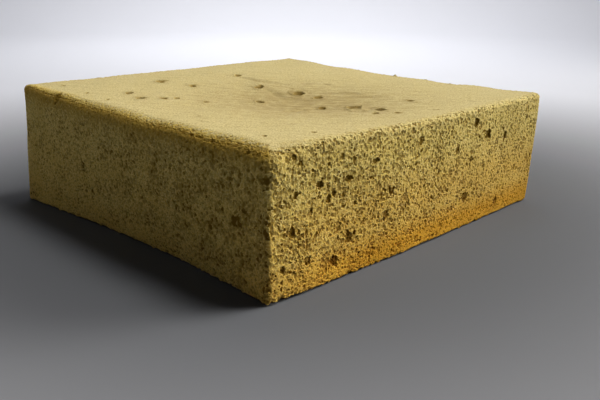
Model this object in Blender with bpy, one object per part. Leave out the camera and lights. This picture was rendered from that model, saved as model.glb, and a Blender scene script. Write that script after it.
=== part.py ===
"""A square sponge cake, trimmed of its crust: one solid slab of open crumb.

The slab is a lattice of small faces that is bent into the settled shape of the cake: rounded
rims, walls that lean a little, a top that has sunk in the middle. The larger bubbles of the
crumb, and the pits and folds of the peeled top, are then cut out of it.
Run it with blender --background --python part.py, or from Blender's text editor.
"""

import math
import random

import bmesh
import bpy
import numpy as np
from mathutils import Euler, Matrix, Vector

MM = 0.001
TINY = 1e-9

# Driving sizes of the whole slab. Its near corner is at -X, -Y.
WIDTH = 200 * MM
DEPTH = 196 * MM
HEIGHT = 62.6 * MM

# Rounding of the edges. The near corner is worn rounder from this share of the height upwards.
RIM_RADIUS = 3.2 * MM
CORNER_RADIUS = 2.0 * MM
WORN_CORNER_RADIUS = 8.0 * MM
WORN_FROM = 0.55

# The sunken middle of the top, from the middle of the slab.
DIP_DEPTH = 4.2 * MM
DIP_CENTRE = (-6 * MM, -22 * MM)
DIP_SPREAD = 40 * MM

# The left wall stands in at its foot, and flares out again beyond this share of its length.
FOOT_RECESS = 4.0 * MM
FOOT_FLARE = 2.6 * MM
FLARE_FROM = 0.78
RECESS_SQUARENESS = 0.8
FOOT_FADE = 1.4

# Its rim bulges, more towards the near corner. The front foot stands in towards the right.
RIM_BULGE = 2.4 * MM
BULGE_NEAR = 1.25
BULGE_FAR = 0.75
FRONT_FOOT_RECESS = 2.6 * MM
FRONT_RECESS_FROM = 0.4
BACK_BELLY = 1.4 * MM

# Height of the rim above or below HEIGHT at the four corners, and its sag along two sides.
RIM_NEAR = 0.5 * MM
RIM_LEFT = 1.2 * MM
RIM_BACK = 0.9 * MM
RIM_RIGHT = -0.9 * MM
RIGHT_SAG = 1.9 * MM
FRONT_SAG = 0.9 * MM

# Unevenness left by the knife on the walls and by the oven on the top.
KNIFE_WAVE = 42 * MM
KNIFE_HEIGHT = 0.2 * MM
KNIFE_SEED = 3
OVEN_WAVE = 38 * MM
OVEN_HEIGHT = 0.2 * MM
OVEN_SEED = 2
WAVES = 7
SHORTEST_WAVE = 1.5
LONGEST_WAVE = 0.7

# Lattice of the slab: its cells, the rows close to the rim, and the rows up the walls.
CELL = 7.4 * MM
LATTICE_INSET = 6.5 * MM
BESIDE_RIM = [0.9 * MM, RIM_RADIUS]
WALL_ROWS = 9
BASE_LEVEL = 0.1 * MM

# Bubbles scattered over each wall by a rule, clear of its edges and of each other.
BUBBLES_A_WALL = 15
SMALL_BUBBLE = 1.5 * MM
LARGE_BUBBLE = 2.7 * MM
BUBBLE_TALL = (0.9, 1.3)
BUBBLE_APART = 9.5 * MM
BUBBLE_EDGE = 6.8 * MM
BUBBLE_SINK = 0.3
CRUMB_SEED = 5

# A cutter larger than this is made rounder.
ROUNDER_OVER = 5.1 * MM

CRUMB_COLOUR = (0.45, 0.33, 0.12)
CRUMB_ROUGHNESS = 0.95

# The holes that stand out on each wall: from its left end, height, across, tall.
NAMED_HOLES = {
    "front": [
        (13.0, 27.5, 4.2, 5.4),
        (20.5, 25.5, 2.0, 5.0),
        (8.0, 13.5, 2.8, 3.4),
        (28.0, 44.0, 4.4, 4.6),
        (33.0, 37.0, 3.8, 3.8),
        (14.5, 42.0, 3.6, 3.6),
        (45.0, 43.5, 4.8, 3.6),
        (61.5, 48.5, 4.4, 3.2),
        (138.0, 55.0, 4.6, 6.2),
        (150.0, 47.0, 5.6, 5.4),
        (167.0, 43.5, 3.2, 6.4),
    ],
    "left": [
        (39.0, 60.0, 5.0, 8.0),
        (176.0, 30.0, 4.0, 5.2),
    ],
}

# Pits in the top: from the middle of the slab, across, deep.
TOP_PITS = [
    (14.0, 1.0, 7.4, 3.0),
    (4.5, -48.5, 8.2, 3.4),
    (5.0, 23.5, 6.0, 2.4),
    (-20.0, -5.5, 5.2, 2.2),
    (14.5, -14.5, 5.6, 1.8),
    (18.5, 58.0, 5.0, 1.6),
    (-34.0, 62.5, 6.0, 1.8),
    (-25.5, 44.5, 4.8, 1.6),
    (-68.0, 40.5, 4.6, 1.8),
    (-70.5, 25.5, 5.2, 1.8),
    (-61.5, 18.5, 4.4, 1.6),
    (7.0, -63.0, 5.4, 2.0),
    (35.5, -59.5, 4.4, 1.6),
]

# Folds in the sunken skin: both ends from the middle of the slab, across, deep.
TOP_FOLDS = [
    ((-29.0, -36.5), (-9.0, -37.5), 3.4, 1.8),
    ((-6.5, -39.0), (-2.5, -46.5), 3.2, 1.6),
    ((15.0, 51.0), (20.0, 24.0), 3.2, 1.6),
    ((3.5, 14.5), (-2.0, -5.0), 3.0, 1.6),
]


def waves_of(wavelength, seed):
    """Directions, lengths and starts of a few plane waves that add up to a gentle unevenness."""
    draw = np.random.default_rng(seed)
    ways = draw.normal(size=(WAVES, 3))
    ways /= np.linalg.norm(ways, axis=1)[:, None]
    turns = draw.uniform(LONGEST_WAVE, SHORTEST_WAVE, WAVES) * 2 * math.pi / wavelength
    return ways * turns[:, None], draw.uniform(0, 2 * math.pi, WAVES)


def unevenness(points, wavelength, seed):
    """A smooth field of about -1 to 1 over the points."""
    ways, starts = waves_of(wavelength, seed)
    return np.sin(points @ ways.T + starts).sum(axis=1) / math.sqrt(WAVES)


def step(low, high, value):
    """0 below low, 1 above high, and smooth between them."""
    share = np.clip((value - low) / (high - low), 0, 1)
    return share * share * (3 - 2 * share)


def round_corners(points):
    """Turns the square plan into one with round corners, and the near corner rounder higher up."""
    half = np.array([WIDTH, DEPTH]) / 2
    near = (points[:, 0] < 0) & (points[:, 1] < 0)
    worn = step(WORN_FROM, 1.0, points[:, 2] / HEIGHT) * near
    radius = CORNER_RADIUS + (WORN_CORNER_RADIUS - CORNER_RADIUS) * worn
    middle = np.clip(points[:, :2], -(half - radius[:, None]), half - radius[:, None])
    out = points[:, :2] - middle
    reach = np.linalg.norm(out, axis=1)
    keep = np.abs(out).max(axis=1) / np.maximum(reach, TINY)
    ways = out / np.maximum(reach, TINY)[:, None]
    plan = middle + out * keep[:, None]
    return plan, ways


def round_rim(points):
    """Rounds the top edge by pulling the points beside it onto a quarter circle."""
    half = np.array([WIDTH, DEPTH]) / 2
    inward = (half - np.abs(points[:, :2])).min(axis=1)
    down = HEIGHT - points[:, 2]
    plan, ways = round_corners(points)
    nearest = np.abs(points[:, :2] / half).argmax(axis=1)
    each = np.arange(len(points))
    straight = np.zeros_like(ways)
    straight[each, nearest] = np.sign(points[each, nearest])
    at_corner = np.abs(ways).sum(axis=1) > TINY
    outward = np.where(at_corner[:, None], ways, straight)
    beside = (inward < RIM_RADIUS) & (down < RIM_RADIUS)
    across, below = RIM_RADIUS - inward, RIM_RADIUS - down
    pull = np.where(beside, RIM_RADIUS / np.maximum(np.hypot(across, below), TINY), 1)
    moved = plan - outward * (across * (1 - pull))[:, None] * beside[:, None]
    height = np.where(beside, HEIGHT - RIM_RADIUS + below * pull, points[:, 2])
    return np.column_stack([moved, height])


def lean_walls(points, shape):
    """Moves the walls in and out as they stand on the real cake, fading through the body."""
    right, back = points[:, 0] / WIDTH + 0.5, points[:, 1] / DEPTH + 0.5
    rise = np.clip(points[:, 2] / HEIGHT, 0, 1)
    foot = (1 - rise) ** FOOT_FADE
    along = np.sin(math.pi * np.clip(back / FLARE_FROM, 0, 1))
    recess = FOOT_RECESS * np.clip(along, 0, 1) ** RECESS_SQUARENESS
    flare = FOOT_FLARE * step(FLARE_FROM, 1.0, back)
    fullness = BULGE_NEAR + (BULGE_FAR - BULGE_NEAR) * back
    bulge = RIM_BULGE * np.sin(math.pi * back) * fullness
    left_out = foot * (flare - recess) + rise * bulge
    front_out = -foot * FRONT_FOOT_RECESS * step(FRONT_RECESS_FROM, 1.0, right)
    belly = BACK_BELLY * np.sin(math.pi * rise)
    shape[:, 0] += -left_out * (1 - right) + belly * np.sin(math.pi * back) * right
    shape[:, 1] += -front_out * (1 - back) + belly * np.sin(math.pi * right) * back


def sink_top(points, shape):
    """Gives the top its uneven rim and its sunken middle."""
    right, back = points[:, 0] / WIDTH + 0.5, points[:, 1] / DEPTH + 0.5
    rim = (1 - back) * ((1 - right) * RIM_NEAR + right * RIM_RIGHT)
    rim += back * ((1 - right) * RIM_LEFT + right * RIM_BACK)
    rim -= RIGHT_SAG * np.sin(math.pi * back) * right**2
    rim -= FRONT_SAG * np.sin(math.pi * right) * (1 - back) ** 2
    away = np.hypot(points[:, 0] - DIP_CENTRE[0], points[:, 1] - DIP_CENTRE[1])
    dip = DIP_DEPTH * np.exp(-((away / DIP_SPREAD) ** 2) / 2)
    oven = OVEN_HEIGHT * unevenness(points * [1, 1, 0], OVEN_WAVE, OVEN_SEED)
    shape[:, 2] += (rim - dip + oven) * np.clip(points[:, 2] / HEIGHT, 0, 1)


def settled(points):
    """Where the points of the plain box, which stands on z = 0, lie on the settled cake."""
    shape = round_rim(points)
    lean_walls(points, shape)
    sink_top(points, shape)
    knife = KNIFE_HEIGHT * unevenness(points, KNIFE_WAVE, KNIFE_SEED)
    half = np.array([WIDTH, DEPTH]) / 2
    shape[:, :2] += points[:, :2] / half * knife[:, None]
    return shape


def lattice_stops(length):
    """Places along one axis where the box is cut into cells, with closer ones beside the ends."""
    inner = length / 2 - LATTICE_INSET
    count = round(2 * inner / CELL)
    stops = [-inner + 2 * inner * i / count for i in range(count + 1)]
    ends = [length / 2 - inset for inset in BESIDE_RIM]
    return [-end for end in ends] + stops + ends[::-1]


def lattice_box():
    """The plain box cut into cells on every side but its flat base."""
    box = bmesh.new()
    bmesh.ops.create_cube(
        box, size=1, matrix=Matrix.Diagonal((WIDTH, DEPTH, HEIGHT, 1))
    )
    bmesh.ops.translate(box, vec=(0, 0, HEIGHT / 2), verts=box.verts)
    cuts = [((x, 0, 0), (1, 0, 0)) for x in lattice_stops(WIDTH)]
    cuts += [((0, y, 0), (0, 1, 0)) for y in lattice_stops(DEPTH)]
    row = (HEIGHT - LATTICE_INSET) / WALL_ROWS
    levels = [i * row for i in range(1, WALL_ROWS + 1)]
    levels += [HEIGHT - inset for inset in BESIDE_RIM]
    cuts += [((0, 0, z), (0, 0, 1)) for z in levels]
    for place, way in cuts:
        everything = box.verts[:] + box.edges[:] + box.faces[:]
        bmesh.ops.bisect_plane(box, geom=everything, plane_co=place, plane_no=way)
    base = [face for face in box.faces if face.calc_center_median().z < BASE_LEVEL]
    bmesh.ops.dissolve_faces(box, faces=base, use_verts=False)
    return box


def material(name, colour, roughness):
    made = bpy.data.materials.new(name)
    made.use_nodes = True
    shader = made.node_tree.nodes["Principled BSDF"]
    shader.inputs["Base Color"].default_value = (*colour, 1)
    shader.inputs["Roughness"].default_value = roughness
    shader.inputs["Metallic"].default_value = 0
    return made


def new_object(name, form):
    """Turns a bmesh into an object of that name."""
    mesh = bpy.data.meshes.new(name)
    form.to_mesh(mesh)
    form.free()
    made = bpy.data.objects.new(name, mesh)
    bpy.context.scene.collection.objects.link(made)
    return made


def slab():
    """The settled cake before its bubbles are cut, and the shift that centred it."""
    form = lattice_box()
    points = settled(np.array([vert.co for vert in form.verts]))
    shift = -(points.min(axis=0) + points.max(axis=0)) / 2
    shift[2] = -points[:, 2].min()
    for vert, place in zip(form.verts, points + shift):
        vert.co = place
    bmesh.ops.triangulate(form, faces=form.faces)
    return new_object("sponge_cake", form), shift


# Each wall as its own left end sees it: where a place along it is, its way out, its length.
WALLS = {
    "front": (lambda along: (along - WIDTH / 2, -DEPTH / 2), (0, -1), WIDTH),
    "left": (lambda along: (-WIDTH / 2, DEPTH / 2 - along), (-1, 0), DEPTH),
    "back": (lambda along: (WIDTH / 2 - along, DEPTH / 2), (0, 1), WIDTH),
    "right": (lambda along: (WIDTH / 2, along - DEPTH / 2), (1, 0), DEPTH),
}


def on_surface(point, shift):
    return Vector(settled(np.array([point]))[0] + shift)


def wall_holes(wall, draw):
    """(along, height, across, tall) of the bubbles that show on one wall, none near another."""
    length = WALLS[wall][2]
    named = NAMED_HOLES.get(wall, [])
    holes = [tuple(size * MM for size in hole) for hole in named]
    while len(holes) < BUBBLES_A_WALL + len(named):
        along = draw.uniform(BUBBLE_EDGE, length - BUBBLE_EDGE)
        height = draw.uniform(BUBBLE_EDGE, HEIGHT - BUBBLE_EDGE)
        radius = SMALL_BUBBLE + (LARGE_BUBBLE - SMALL_BUBBLE) * draw.random() ** 2
        if all(math.dist(hole[:2], (along, height)) > BUBBLE_APART for hole in holes):
            tall = 2 * radius * draw.uniform(*BUBBLE_TALL)
            holes.append((along, height, 2 * radius, tall))
    return holes


def add_ball(form, centre, size, turn=(0, 0, 0)):
    """A small rounded cutter of that size, across, deep and tall, in the bmesh of cutters."""
    place = Matrix.LocRotScale(centre, Euler(turn), Vector(size))
    rounds = 2 if max(size) > ROUNDER_OVER else 1
    bmesh.ops.create_icosphere(form, subdivisions=rounds, radius=0.5, matrix=place)


def cut_wall_holes(form, shift):
    draw = random.Random(CRUMB_SEED)
    for wall, (place, way, _) in WALLS.items():
        outward = Vector((*way, 0))
        turn = (0, 0, math.atan2(way[0], -way[1]))
        for along, height, across, tall in wall_holes(wall, draw):
            centre = on_surface((*place(along), height), shift)
            centre -= outward * across * BUBBLE_SINK
            add_ball(form, centre, (across, across, tall), turn)


def cut_top_marks(form, shift):
    for x, y, across, deep in TOP_PITS:
        centre = on_surface((x * MM, y * MM, HEIGHT), shift)
        add_ball(form, centre, (across * MM, across * MM, 2 * deep * MM))
    for start, end, across, deep in TOP_FOLDS:
        one = on_surface((start[0] * MM, start[1] * MM, HEIGHT), shift)
        other = on_surface((end[0] * MM, end[1] * MM, HEIGHT), shift)
        run = other - one
        turn = (0, -math.asin(run.z / run.length), math.atan2(run.y, run.x))
        size = (run.length, across * MM, 2 * deep * MM)
        add_ball(form, (one + other) / 2, size, turn)


def bubbles(shift):
    """Every hole of the crumb and the top as one hidden cutter."""
    form = bmesh.new()
    cut_wall_holes(form, shift)
    cut_top_marks(form, shift)
    cutter = new_object("bubble_cutter", form)
    cutter.display_type = "WIRE"
    cutter.hide_render = True
    return cutter


def main():
    for obj in list(bpy.data.objects):
        bpy.data.objects.remove(obj)
    crumb = material("dry sponge crumb", CRUMB_COLOUR, CRUMB_ROUGHNESS)
    cake, shift = slab()
    cake.data.materials.append(crumb)
    cake.data.shade_smooth()
    cut = cake.modifiers.new("bubbles", "BOOLEAN")
    cut.operation = "DIFFERENCE"
    cut.solver = "EXACT"
    cut.object = bubbles(shift)


main()
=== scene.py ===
# %% [markdown]
# # The looks of a square sponge cake
#
# A sponge cake that has been turned out of its tin and trimmed shows three things: walls of
# open crumb, where the knife went through thousands of bubbles, a pale peeled top that has
# sunk a little in its middle, and edges that crumble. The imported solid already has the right
# size and the larger holes. This script dresses it with the fine crumb.
#
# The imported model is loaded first, because every piece has to sit where it sits.

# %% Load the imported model
import math
import random

import bpy
import numpy as np
from mathutils import Matrix, Vector


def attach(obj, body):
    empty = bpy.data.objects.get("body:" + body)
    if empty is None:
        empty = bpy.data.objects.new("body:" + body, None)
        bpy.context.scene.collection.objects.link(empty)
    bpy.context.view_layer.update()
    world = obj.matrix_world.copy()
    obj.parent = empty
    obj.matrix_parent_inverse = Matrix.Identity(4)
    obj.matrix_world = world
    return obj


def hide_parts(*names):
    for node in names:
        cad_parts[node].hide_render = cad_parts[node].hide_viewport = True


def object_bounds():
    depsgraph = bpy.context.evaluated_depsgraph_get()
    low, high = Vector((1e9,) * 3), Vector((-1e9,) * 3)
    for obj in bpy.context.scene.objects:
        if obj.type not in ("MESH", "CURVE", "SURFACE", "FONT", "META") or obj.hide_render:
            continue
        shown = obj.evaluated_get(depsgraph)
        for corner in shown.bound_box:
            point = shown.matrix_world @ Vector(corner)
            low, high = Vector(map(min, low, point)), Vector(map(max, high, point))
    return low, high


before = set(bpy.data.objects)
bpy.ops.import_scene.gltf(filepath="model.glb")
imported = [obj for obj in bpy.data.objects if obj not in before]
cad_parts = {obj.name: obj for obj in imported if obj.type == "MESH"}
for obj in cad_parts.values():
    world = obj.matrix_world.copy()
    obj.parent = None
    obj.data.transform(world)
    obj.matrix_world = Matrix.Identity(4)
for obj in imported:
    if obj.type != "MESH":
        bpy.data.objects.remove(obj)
cad_low, cad_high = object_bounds()
print("the packed cake is", [round(side * 1000, 1) for side in cad_high - cad_low], "mm")

# %% [markdown]
# ## The settled form
#
# A cake that stands for an hour is no longer a box. Its middle sinks, its left foot tucks in,
# its rims sag, and its near corner and left rim wear round. Sculpting that by hand would be hard
# to change later, so the form is a function instead: it takes a point of a plain box and gives
# its place on the settled cake. The sizes are those of the solid. Only the rim over the left
# wall is rounder here, because a few millimetres of soft rim catch the light so differently.

# %% Driving sizes of the settled form
MM = 0.001
TINY = 1e-9

WIDTH = 200 * MM
DEPTH = 196 * MM
HEIGHT = 62.6 * MM

RIM_RADIUS = 3.2 * MM
SLUMPED_RADIUS = 8.5 * MM
SLUMP_FADES = (8 * MM, 26 * MM)
SLUMP_ENDS = (0.6, 1.0)
CORNER_RADIUS = 2.0 * MM
WORN_CORNER_RADIUS = 8.0 * MM
WORN_FROM = 0.55

DIP_DEPTH = 4.2 * MM
DIP_CENTRE = (-6 * MM, -22 * MM)
DIP_SPREAD = 40 * MM

FOOT_RECESS = 4.0 * MM
FOOT_FLARE = 2.6 * MM
FLARE_FROM = 0.78
RECESS_SQUARENESS = 0.8
FOOT_FADE = 1.4

RIM_BULGE = 2.4 * MM
BULGE_NEAR = 1.25
BULGE_FAR = 0.75
FRONT_FOOT_RECESS = 2.6 * MM
FRONT_RECESS_FROM = 0.4
BACK_BELLY = 1.4 * MM

RIM_NEAR = 0.5 * MM
RIM_LEFT = 1.2 * MM
RIM_BACK = 0.9 * MM
RIM_RIGHT = -0.9 * MM
RIGHT_SAG = 1.9 * MM
FRONT_SAG = 0.9 * MM

KNIFE_WAVE = 42 * MM
KNIFE_HEIGHT = 0.2 * MM
KNIFE_SEED = 3
OVEN_WAVE = 38 * MM
OVEN_HEIGHT = 0.2 * MM
OVEN_SEED = 2
WAVES = 7
SHORTEST_WAVE = 1.5
LONGEST_WAVE = 0.7


# %% Gentle unevenness
def waves_of(wavelength, seed):
    """Directions, lengths and starts of a few plane waves that add up to a gentle unevenness."""
    draw = np.random.default_rng(seed)
    ways = draw.normal(size=(WAVES, 3))
    ways /= np.linalg.norm(ways, axis=1)[:, None]
    turns = draw.uniform(LONGEST_WAVE, SHORTEST_WAVE, WAVES) * 2 * math.pi / wavelength
    return ways * turns[:, None], draw.uniform(0, 2 * math.pi, WAVES)


def unevenness(points, wavelength, seed):
    """A smooth field of about -1 to 1 over the points."""
    ways, starts = waves_of(wavelength, seed)
    return np.sin(points @ ways.T + starts).sum(axis=1) / math.sqrt(WAVES)


def step(low, high, value):
    """0 below low, 1 above high, and smooth between them."""
    share = np.clip((value - low) / (high - low), 0, 1)
    return share * share * (3 - 2 * share)


# %% Rounded corners and rim
def round_corners(points):
    """Turns the square plan into one with round corners, and the near corner rounder higher up."""
    half = np.array([WIDTH, DEPTH]) / 2
    near = (points[:, 0] < 0) & (points[:, 1] < 0)
    worn = step(WORN_FROM, 1.0, points[:, 2] / HEIGHT) * near
    radius = CORNER_RADIUS + (WORN_CORNER_RADIUS - CORNER_RADIUS) * worn
    middle = np.clip(points[:, :2], -(half - radius[:, None]), half - radius[:, None])
    out = points[:, :2] - middle
    reach = np.linalg.norm(out, axis=1)
    keep = np.abs(out).max(axis=1) / np.maximum(reach, TINY)
    return middle + out * keep[:, None]


def round_rim(points):
    """Rounds the top edge by pulling the points beside it onto a quarter circle."""
    gaps = np.array([WIDTH, DEPTH]) / 2 - np.abs(points[:, :2])
    slumped = 1 - step(*SLUMP_FADES, points[:, 0] + WIDTH / 2)
    slumped *= 1 - step(*SLUMP_ENDS, points[:, 1] / DEPTH + 0.5)
    radius = RIM_RADIUS + (SLUMPED_RADIUS - RIM_RADIUS) * slumped
    inward, down = gaps.min(axis=1), HEIGHT - points[:, 2]
    beside = (inward < radius) & (down < radius)
    across, below = radius - inward, radius - down
    pull = np.where(beside, radius / np.maximum(np.hypot(across, below), TINY), 1)
    out = np.maximum(radius[:, None] - gaps, 0) * np.sign(points[:, :2])
    out /= np.maximum(np.linalg.norm(out, axis=1), TINY)[:, None]
    moved = round_corners(points) - out * (across * (1 - pull) * beside)[:, None]
    height = np.where(beside, HEIGHT - radius + below * pull, points[:, 2])
    return np.column_stack([moved, height])


# %% Leaning walls and sunken top
def lean_walls(points, shape):
    """Moves the walls in and out as they stand on the real cake, fading through the body."""
    right, back = points[:, 0] / WIDTH + 0.5, points[:, 1] / DEPTH + 0.5
    rise = np.clip(points[:, 2] / HEIGHT, 0, 1)
    foot = (1 - rise) ** FOOT_FADE
    along = np.sin(math.pi * np.clip(back / FLARE_FROM, 0, 1))
    recess = FOOT_RECESS * np.clip(along, 0, 1) ** RECESS_SQUARENESS
    flare = FOOT_FLARE * step(FLARE_FROM, 1.0, back)
    fullness = BULGE_NEAR + (BULGE_FAR - BULGE_NEAR) * back
    bulge = RIM_BULGE * np.sin(math.pi * back) * fullness
    left_out = foot * (flare - recess) + rise * bulge
    front_out = -foot * FRONT_FOOT_RECESS * step(FRONT_RECESS_FROM, 1.0, right)
    belly = BACK_BELLY * np.sin(math.pi * rise)
    shape[:, 0] += -left_out * (1 - right) + belly * np.sin(math.pi * back) * right
    shape[:, 1] += -front_out * (1 - back) + belly * np.sin(math.pi * right) * back


def sunk(points):
    """1 in the middle of the dip, fading to 0 towards the rims."""
    away = np.hypot(points[:, 0] - DIP_CENTRE[0], points[:, 1] - DIP_CENTRE[1])
    return np.exp(-((away / DIP_SPREAD) ** 2) / 2)


def sink_top(points, shape):
    """Gives the top its uneven rim and its sunken middle."""
    right, back = points[:, 0] / WIDTH + 0.5, points[:, 1] / DEPTH + 0.5
    rim = (1 - back) * ((1 - right) * RIM_NEAR + right * RIM_RIGHT)
    rim += back * ((1 - right) * RIM_LEFT + right * RIM_BACK)
    rim -= RIGHT_SAG * np.sin(math.pi * back) * right**2
    rim -= FRONT_SAG * np.sin(math.pi * right) * (1 - back) ** 2
    oven = OVEN_HEIGHT * unevenness(points * [1, 1, 0], OVEN_WAVE, OVEN_SEED)
    lift = rim - DIP_DEPTH * sunk(points) + oven
    shape[:, 2] += lift * np.clip(points[:, 2] / HEIGHT, 0, 1)


def settled(points):
    """Where the points of the plain box, which stands on z = 0, lie on the settled cake."""
    shape = round_rim(points)
    lean_walls(points, shape)
    sink_top(points, shape)
    knife = KNIFE_HEIGHT * unevenness(points, KNIFE_WAVE, KNIFE_SEED)
    half = np.array([WIDTH, DEPTH]) / 2
    shape[:, :2] += points[:, :2] / half * knife[:, None]
    return shape


# %% Where the form lies in the frame
SAMPLE_CELLS = 80


def box_surface(cells):
    """Points spread over the whole plain box, to measure the settled cake with."""
    share = np.linspace(0, 1, cells + 1)
    grid = np.stack(np.meshgrid(share, share, share, indexing="ij"), -1).reshape(-1, 3)
    outside = ((grid == 0) | (grid == 1)).any(axis=1)
    return (grid[outside] - [0.5, 0.5, 0]) * [WIDTH, DEPTH, HEIGHT]


sample = settled(box_surface(SAMPLE_CELLS))
SHIFT = (np.array(cad_low) + np.array(cad_high) - sample.min(axis=0) - sample.max(axis=0)) / 2
SHIFT[2] = cad_low[2] - sample[:, 2].min()
print("the form moves by", (SHIFT / MM).round(2), "mm into the frame")


def on_surface(point):
    """The place in the frame of one point of the plain box."""
    return settled(np.array([point]))[0] + SHIFT


# %% [markdown]
# ## Six parts that close on each other
#
# The crumb is fine: its bubbles are about a millimetre wide, so the walls need a point every
# third of a millimetre. One mesh as fine as that would be too heavy, so the surface
# is made as six patches, one for each side of the box. Each patch is closed at its back by
# faces that run to four inner corners at half height, so that the six parts fill the cake with
# no gap, like the sides of a hipped roof. The top is twice as coarse and the base four times,
# except along their edges, where they share every point with the walls.

# %% The lattice and the six sides
CRUMB_CELL = 0.365 * MM
COARSER = {"top": 2, "base": 4}
COARSEST = max(COARSER.values())
CELLS = [COARSEST * round(side / CRUMB_CELL / COARSEST) for side in (WIDTH, DEPTH, HEIGHT)]
INSET = HEIGHT / 2

# Each side: where it starts as shares of the box, its two directions as axis numbers and
# signs, and the inner corner behind each of its four corners.
SIDES = {
    "front": ((0, 0, 0), (0, 1), (2, 1), ("near", "right", "right", "near")),
    "right": ((1, 0, 0), (1, 1), (2, 1), ("right", "back", "back", "right")),
    "back": ((1, 1, 0), (0, -1), (2, 1), ("back", "left", "left", "back")),
    "left": ((0, 1, 0), (1, -1), (2, 1), ("left", "near", "near", "left")),
    "top": ((0, 0, 1), (0, 1), (1, 1), ("near", "right", "back", "left")),
    "base": ((0, 1, 0), (0, 1), (1, -1), ("left", "back", "right", "near")),
}
INNER = {"near": (-1, -1), "right": (1, -1), "back": (1, 1), "left": (-1, 1)}
print("cells along the box:", CELLS)


# %% Points and faces of one patch
def cell_ring(i, j, size, wide, high):
    """The points round one cell, with every fine one where the cell lies at the patch's edge."""
    below = 1 if j == 0 else size
    east = 1 if i + size == wide else size
    above = 1 if j + size == high else size
    west = 1 if i == 0 else size
    ring = [(i + s, j) for s in range(0, size, below)]
    ring += [(i + size, j + s) for s in range(0, size, east)]
    ring += [(i + size - s, j + size) for s in range(0, size, above)]
    ring += [(i, j + size - s) for s in range(0, size, west)]
    return ring


def close_path(path, first, last):
    """The faces from one edge of a patch back to the inner corners behind its two ends."""
    half = (len(path) - 1) // 2
    faces = [
        [path[k + 1], path[k], first if k < half else last] for k in range(len(path) - 1)
    ]
    if first != last:
        faces.append([path[half], first, last])
    return faces


def patch(side):
    """(plain box points, their place on the patch from 0 to 1, faces, how many show, corners)."""
    start, (u_axis, u_way), (v_axis, v_way), corners = SIDES[side]
    wide, high, size = CELLS[u_axis], CELLS[v_axis], COARSER.get(side, 1)
    used = np.zeros((wide + 1, high + 1), bool)
    used[::size, ::size] = True
    used[[0, -1], :] = True
    used[:, [0, -1]] = True
    number = np.full(used.shape, -1)
    number[used] = np.arange(used.sum())
    along = np.argwhere(used) / [wide, high]

    share = np.tile(np.array(start, float), (len(along), 1))
    share[:, u_axis] += u_way * along[:, 0]
    share[:, v_axis] += v_way * along[:, 1]
    points = (share - [0.5, 0.5, 0]) * [WIDTH, DEPTH, HEIGHT]

    number = number.tolist()
    faces = [
        [number[a][b] for a, b in cell_ring(i, j, size, wide, high)]
        for i in range(0, wide, size)
        for j in range(0, high, size)
    ]
    shown = len(faces)
    edges = [
        [number[i][0] for i in range(wide + 1)],
        [number[wide][j] for j in range(high + 1)],
        [number[i][high] for i in range(wide, -1, -1)],
        [number[0][j] for j in range(high, -1, -1)],
    ]
    behind = {name: len(points) + k for k, name in enumerate(dict.fromkeys(corners))}
    for k, edge in enumerate(edges):
        faces += close_path(edge, behind[corners[k]], behind[corners[(k + 1) % 4]])
    if len(behind) == 4:
        faces.append([behind[name] for name in reversed(corners)])
    return points, along, faces, shown, list(behind)


# %% The way out of the cake
# Bubbles are cut straight into the walls, but on the diagonal near an edge, so that a bubble
# on one side of the edge never breaks through the other side.
EDGE_BLEND = 6 * MM


def way_out(plain):
    """Unit vectors that point out of the plain box, turning smoothly round its edges."""
    half = np.array([WIDTH, DEPTH, HEIGHT]) / 2
    middled = plain - [0, 0, HEIGHT / 2]
    ways = middled - np.clip(middled, -(half - EDGE_BLEND), half - EDGE_BLEND)
    return ways / np.linalg.norm(ways, axis=1)[:, None]


# %% [markdown]
# ## Worn edges
#
# A cut edge of sponge never stays sharp. Its rim has lost crumbs, the foot has lifted off the
# plate by a hair all the way round, and at the near corner the foot has torn. Cutting away
# small bits of mesh would leave holes, so three small rules move the points inwards instead,
# by more or less along each edge.

# %% Wear along the edges
FOOT_LIFT = 0.9 * MM
FOOT_LIFT_HEIGHT = 1.5 * MM
FOOT_UNEVEN = 0.5
FOOT_WAVE = 4 * MM
FOOT_SEED = 41

TORN_FOOT = 2.2 * MM
TORN_HEIGHT = 2.4 * MM
TORN_SHAPE = 0.7
TORN_FROM = 3 * MM
TORN_TO = 26 * MM
TORN_SHARE = 0.6
TORN_WAVE = 2.6 * MM
TORN_SEED = 43

RIM_WORN = {"left": 0.5 * MM, "front": 0.3 * MM, "back": 0.5 * MM, "right": 0.5 * MM}
RIM_WORN_REACH = 2.6 * MM
RIM_WORN_WAVE = 2.2 * MM
RIM_WORN_SEED = 47
WORN_MOST = 1.4


def from_walls(plain):
    """How far each point of the plain box is from each of the four walls."""
    half = np.array([WIDTH, DEPTH]) / 2
    return {
        "left": plain[:, 0] + half[0],
        "right": half[0] - plain[:, 0],
        "front": plain[:, 1] + half[1],
        "back": half[1] - plain[:, 1],
    }


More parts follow.
